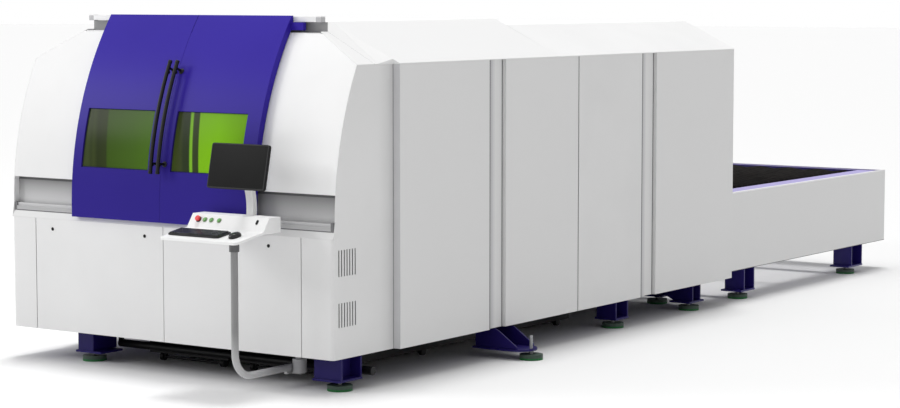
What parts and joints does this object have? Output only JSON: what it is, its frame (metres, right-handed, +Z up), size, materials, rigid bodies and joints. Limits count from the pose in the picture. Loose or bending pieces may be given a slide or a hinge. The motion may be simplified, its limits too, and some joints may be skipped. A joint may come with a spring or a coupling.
{
  "type": "fiber laser cutting machine",
  "caption": "Enclosed sheet-metal laser cutting machine with curved sliding doors, a rear exchange table, swinging control desk and pallets.",
  "frame": {"origin": "centre of the bounding box in plan, at the underside of the feet", "axes": "+X to the right facing the doors, +Y from the doors towards the exchange table, +Z up"},
  "size_m": [3.4124, 9.542, 2.547],
  "materials": {
    "frame_paint": "blue-violet satin paint on welded steel",
    "door_paint": "blue-violet gloss paint on sheet steel",
    "white_paint": "white fine-textured paint on sheet steel",
    "grey_paint": "light grey fine-textured paint on sheet steel",
    "table_paint": "violet satin paint on welded steel",
    "black_paint": "black satin paint on steel",
    "dark_steel": "scorched plain steel",
    "bare_steel": "ground and brushed steel",
    "beam_metal": "machined aluminium, anodised",
    "laser_glass": "green laser-safety glass",
    "black_plastic": "black fine-textured plastic",
    "screen_plastic": "dark grey plastic with a glossy screen",
    "red_plastic": "red gloss plastic",
    "green_plastic": "green gloss plastic",
    "post_paint": "light grey satin paint on steel tube",
    "foot_steel": "zinc-plated steel on green rubber"
  },
  "bodies": {
    "machine": {"bed_frame": "frame_paint", "level_feet": "foot_steel", "lifting_bar": "black_paint", "table_frame": "table_paint", "table_sheets": "grey_paint", "side_front_left": "grey_paint", "side_front_right": "grey_paint", "side_left_front": "grey_paint", "side_left_rear": "grey_paint", "side_right_front": "grey_paint", "side_right_rear": "grey_paint", "rear_wall": "grey_paint", "control_cabinet": "grey_paint", "cover_left": "white_paint", "cover_right": "white_paint", "sill": "white_paint", "panel_left": "white_paint", "panel_right": "white_paint", "roof_front": "white_paint", "roof_rear": "white_paint", "top_rail": "white_paint", "lower_rail": "grey_paint", "end_stops": "black_plastic", "beam_rails": "bare_steel", "scrap_trolley_left": "black_paint", "scrap_trolley_right": "black_paint", "arm_pivot": "post_paint"},
    "door_left": {"door_left": "door_paint", "window_left": "laser_glass", "handle_left": "black_paint"},
    "door_right": {"door_right": "door_paint", "window_right": "laser_glass", "handle_right": "black_paint"},
    "beam": {"moving_beam": "beam_metal"},
    "carriage": {"carriage": "beam_metal"},
    "head": {"cutting_head": "bare_steel"},
    "pallet_high": {"pallet_high_frame": "dark_steel", "pallet_high_slats": "dark_steel"},
    "pallet_low": {"pallet_low_frame": "dark_steel", "pallet_low_slats": "dark_steel"},
    "lock_one": {"lock_one": "black_paint"},
    "lock_two": {"lock_two": "black_paint"},
    "lock_three": {"lock_three": "black_paint"},
    "lock_four": {"lock_four": "black_paint"},
    "control_arm": {"control_arm": "post_paint"},
    "desk": {"desk": "post_paint", "keyboard": "black_plastic", "mouse": "black_plastic", "monitor_stem": "post_paint"},
    "monitor": {"monitor": "screen_plastic"},
    "emergency_stop": {"emergency_stop": "red_plastic"},
    "button_start": {"button_start": "green_plastic"},
    "button_hold": {"button_hold": "green_plastic"},
    "button_reset": {"button_reset": "green_plastic"},
    "wheels_left_front": {"wheels_left_front": "black_plastic"},
    "wheels_left_mid": {"wheels_left_mid": "black_plastic"},
    "wheels_left_back": {"wheels_left_back": "black_plastic"},
    "wheels_right_front": {"wheels_right_front": "black_plastic"},
    "wheels_right_mid": {"wheels_right_mid": "black_plastic"},
    "wheels_right_back": {"wheels_right_back": "black_plastic"}
  },
  "joints": [
    {"name": "door_left_slide", "type": "slide", "parent": "machine", "child": "door_left", "axis": [-1, 0, 0], "range_m": [0, 0.59]},
    {"name": "door_right_slide", "type": "slide", "parent": "machine", "child": "door_right", "axis": [1, 0, 0], "range_m": [0, 0.59]},
    {"name": "beam_slide", "type": "slide", "parent": "machine", "child": "beam", "axis": [0, 1, 0], "range_m": [-1.2, 2.95]},
    {"name": "carriage_slide", "type": "slide", "parent": "beam", "child": "carriage", "axis": [1, 0, 0], "range_m": [-0.75, 0.75]},
    {"name": "head_slide", "type": "slide", "parent": "carriage", "child": "head", "axis": [0, 0, 1], "range_m": [-0.17, 0.05]},
    {"name": "pallet_high_slide", "type": "slide", "parent": "machine", "child": "pallet_high", "axis": [0, -1, 0], "range_m": [0, 3.38]},
    {"name": "pallet_low_slide", "type": "slide", "parent": "machine", "child": "pallet_low", "axis": [0, 1, 0], "range_m": [0, 3.38]},
    {"name": "lock_one_turn", "type": "hinge", "parent": "machine", "child": "lock_one", "pos_m": [-1.23825, -4.189, 0.978], "axis": [0, 1, 0], "range_deg": [0, 90]},
    {"name": "lock_two_turn", "type": "hinge", "parent": "machine", "child": "lock_two", "pos_m": [-0.33925, -4.189, 0.978], "axis": [0, 1, 0], "range_deg": [0, 90]},
    {"name": "lock_three_turn", "type": "hinge", "parent": "machine", "child": "lock_three", "pos_m": [0.00675, -4.189, 0.978], "axis": [0, 1, 0], "range_deg": [0, 90]},
    {"name": "lock_four_turn", "type": "hinge", "parent": "machine", "child": "lock_four", "pos_m": [0.79175, -4.189, 0.978], "axis": [0, 1, 0], "range_deg": [0, 90]},
    {"name": "arm_swing", "type": "hinge", "parent": "machine", "child": "control_arm", "pos_m": [0.82875, -3.909, 0.1], "axis": [0, 0, 1], "range_deg": [-3, 6]},
    {"name": "desk_swivel", "type": "hinge", "parent": "control_arm", "child": "desk", "pos_m": [0.77875, -4.549, 1.02], "axis": [0, 0, 1], "range_deg": [-3, 20]},
    {"name": "monitor_tilt", "type": "hinge", "parent": "desk", "child": "monitor", "pos_m": [0.73675, -4.404, 1.526], "axis": [1, 0, 0], "range_deg": [-5, 15]},
    {"name": "emergency_stop_push", "type": "slide", "parent": "desk", "child": "emergency_stop", "axis": [0, 0.8151, -0.5793], "range_m": [0, 0.006]},
    {"name": "button_start_push", "type": "slide", "parent": "desk", "child": "button_start", "axis": [0, 0.8151, -0.5793], "range_m": [0, 0.004], "stiffness_N_per_m": 900},
    {"name": "button_hold_push", "type": "slide", "parent": "desk", "child": "button_hold", "axis": [0, 0.8151, -0.5793], "range_m": [0, 0.004], "stiffness_N_per_m": 900},
    {"name": "button_reset_push", "type": "slide", "parent": "desk", "child": "button_reset", "axis": [0, 0.8151, -0.5793], "range_m": [0, 0.004], "stiffness_N_per_m": 900},
    {"name": "wheels_left_front_spin", "type": "hinge", "parent": "machine", "child": "wheels_left_front", "pos_m": [-0.31225, -3.712, 0.03], "axis": [1, 0, 0], "continuous": true},
    {"name": "wheels_left_mid_spin", "type": "hinge", "parent": "machine", "child": "wheels_left_mid", "pos_m": [-0.31225, -2.437, 0.03], "axis": [1, 0, 0], "continuous": true},
    {"name": "wheels_left_back_spin", "type": "hinge", "parent": "machine", "child": "wheels_left_back", "pos_m": [-0.31225, -0.538, 0.03], "axis": [1, 0, 0], "continuous": true},
    {"name": "wheels_right_front_spin", "type": "hinge", "parent": "machine", "child": "wheels_right_front", "pos_m": [0.54675, -3.712, 0.03], "axis": [1, 0, 0], "continuous": true},
    {"name": "wheels_right_mid_spin", "type": "hinge", "parent": "machine", "child": "wheels_right_mid", "pos_m": [0.54675, -2.437, 0.03], "axis": [1, 0, 0], "continuous": true},
    {"name": "wheels_right_back_spin", "type": "hinge", "parent": "machine", "child": "wheels_right_back", "pos_m": [0.54675, -0.538, 0.03], "axis": [1, 0, 0], "continuous": true}
  ],
  "couplings": [
    {"joint": "pallet_low_slide", "follows": "pallet_high_slide", "ratio": 1}
  ]
}
